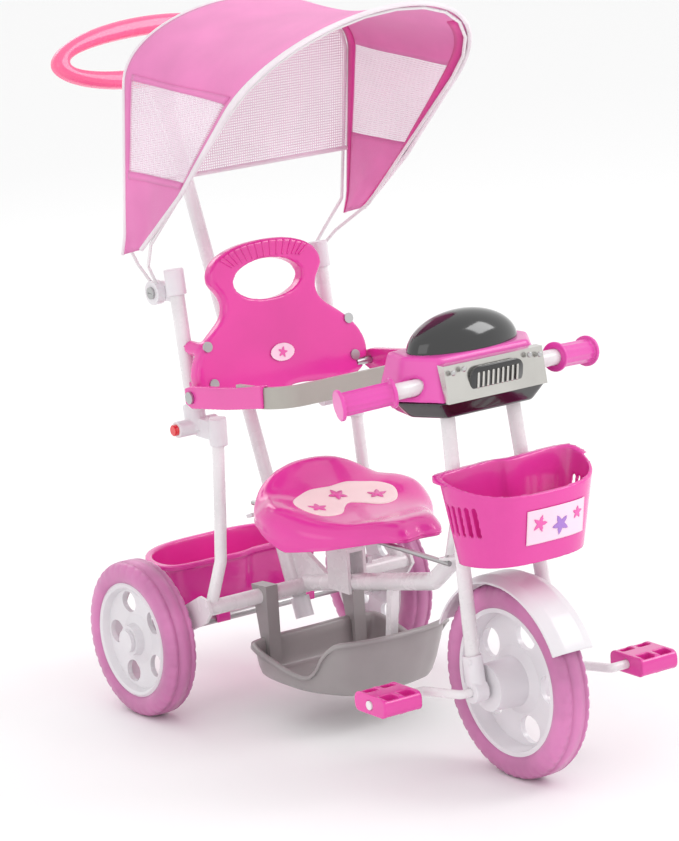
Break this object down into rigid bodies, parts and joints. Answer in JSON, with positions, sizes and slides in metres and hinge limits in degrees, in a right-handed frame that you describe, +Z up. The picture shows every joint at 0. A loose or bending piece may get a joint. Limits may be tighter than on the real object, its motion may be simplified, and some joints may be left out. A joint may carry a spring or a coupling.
{
  "type": "children's tricycle",
  "caption": "Child's pedal tricycle with a sun canopy, a parent push handle that steers, a safety bar, a footrest and front and rear baskets.",
  "frame": {"origin": "on the ground under the middle of the whole tricycle", "axes": "+X is the rider's left, -Y is the way the tricycle faces, +Z is up"},
  "size_m": [0.384, 0.7761, 0.8301],
  "materials": {
    "black_plastic": "gloss",
    "cream_vinyl": "satin",
    "grey_bar": "satin",
    "grey_plastic": "satin",
    "magenta_plastic": "gloss",
    "pink_fabric": "woven",
    "pink_mesh": "mesh",
    "pink_plastic": "gloss",
    "pink_tyre": "satin",
    "red_reflector": "gloss",
    "salmon_plastic": "gloss",
    "silver_plastic": "polished",
    "steel": "satin",
    "white_metal": "gloss",
    "white_plastic": "gloss"
  },
  "bodies": {
    "frame": {"backrest": "pink_plastic", "backrest_screws": "steel", "canopy_pins": "steel", "footrest_hanger": "white_metal", "footrest_hooks": "grey_plastic", "footrest_tray": "grey_plastic", "guard_pins": "steel", "hub_caps": "white_plastic", "lower_stays": "white_metal", "main_frame": "white_metal", "post_clamps": "white_plastic", "post_connectors": "white_plastic", "rear_axle": "steel", "rear_basket": "pink_plastic", "seat_bracket": "white_metal", "seat_inlay": "cream_vinyl", "seat_knob": "white_plastic", "seat_posts": "white_metal", "seat_shell": "pink_plastic", "side_reflectors": "red_reflector"},
    "steering": {"fork_legs": "white_metal", "leg_ends": "white_plastic", "handlebar": "white_metal", "hand_grips": "magenta_plastic", "steering_bolt": "steel", "crown_plates": "white_metal", "steering_arm": "white_metal", "front_mudguard": "white_plastic", "basket_bracket": "white_metal", "front_basket": "pink_plastic", "dash_lower": "black_plastic", "dash_upper": "magenta_plastic", "dash_dome": "black_plastic", "dash_grille": "silver_plastic"},
    "front_wheel": {"front_rim": "white_plastic", "front_tyre": "pink_tyre", "crank_axle": "white_metal"},
    "right_pedal": {"pedal_right": "pink_plastic"},
    "left_pedal": {"pedal_left": "pink_plastic"},
    "right_rear_wheel": {"rear_rim_right": "white_plastic", "rear_tyre_right": "pink_tyre"},
    "left_rear_wheel": {"rear_rim_left": "white_plastic", "rear_tyre_left": "pink_tyre"},
    "push_handle": {"push_pole": "white_metal", "pole_cap": "white_plastic", "ring_handle": "salmon_plastic", "handle_hub": "white_plastic", "pole_arm": "white_plastic"},
    "steering_link": {"steering_rod": "steel"},
    "canopy": {"canopy_hoop_front": "white_metal", "canopy_hoop_rear": "white_metal", "canopy_cover": "pink_fabric", "canopy_window_right": "pink_mesh", "canopy_window_left": "pink_mesh", "canopy_back": "pink_mesh", "canopy_hubs": "white_plastic"},
    "safety_bar": {"guard_arms": "pink_plastic", "guard_bar": "grey_bar"}
  },
  "joints": [
    {"name": "steer", "type": "hinge", "parent": "frame", "child": "steering", "pos_m": [0, -0.201, 0.24], "axis": [0, 0.1305, 0.9914], "range_deg": [-30, 30]},
    {"name": "front_wheel_spin", "type": "hinge", "parent": "steering", "child": "front_wheel", "pos_m": [0, -0.28, 0.108], "axis": [1, 0, 0], "continuous": true},
    {"name": "right_pedal_spin", "type": "hinge", "parent": "front_wheel", "child": "right_pedal", "pos_m": [-0.142, -0.238, 0.108], "axis": [1, 0, 0], "continuous": true},
    {"name": "left_pedal_spin", "type": "hinge", "parent": "front_wheel", "child": "left_pedal", "pos_m": [0.142, -0.322, 0.108], "axis": [1, 0, 0], "continuous": true},
    {"name": "right_rear_wheel_spin", "type": "hinge", "parent": "frame", "child": "right_rear_wheel", "pos_m": [-0.168, 0.208, 0.091], "axis": [1, 0, 0], "continuous": true},
    {"name": "left_rear_wheel_spin", "type": "hinge", "parent": "frame", "child": "left_rear_wheel", "pos_m": [0.168, 0.208, 0.091], "axis": [1, 0, 0], "continuous": true},
    {"name": "push_handle_turn", "type": "hinge", "parent": "frame", "child": "push_handle", "pos_m": [0, 0.141, 0.15], "axis": [0, 0.3584, 0.9336], "range_deg": [-30, 30]},
    {"name": "link_swing", "type": "hinge", "parent": "steering", "child": "steering_link", "pos_m": [-0.028, -0.20291, 0.23319], "axis": [0, 0.1305, 0.9914], "range_deg": [-30, 30]},
    {"name": "canopy_tilt", "type": "hinge", "parent": "frame", "child": "canopy", "pos_m": [0, 0.22, 0.486], "axis": [1, 0, 0], "range_deg": [-8, 30]},
    {"name": "safety_bar_lift", "type": "hinge", "parent": "frame", "child": "safety_bar", "pos_m": [0, 0.13, 0.38], "axis": [-1, 0, 0], "range_deg": [0, 75]}
  ],
  "couplings": [
    {"joint": "push_handle_turn", "follows": "steer", "ratio": 1},
    {"joint": "link_swing", "follows": "steer", "ratio": -1}
  ]
}
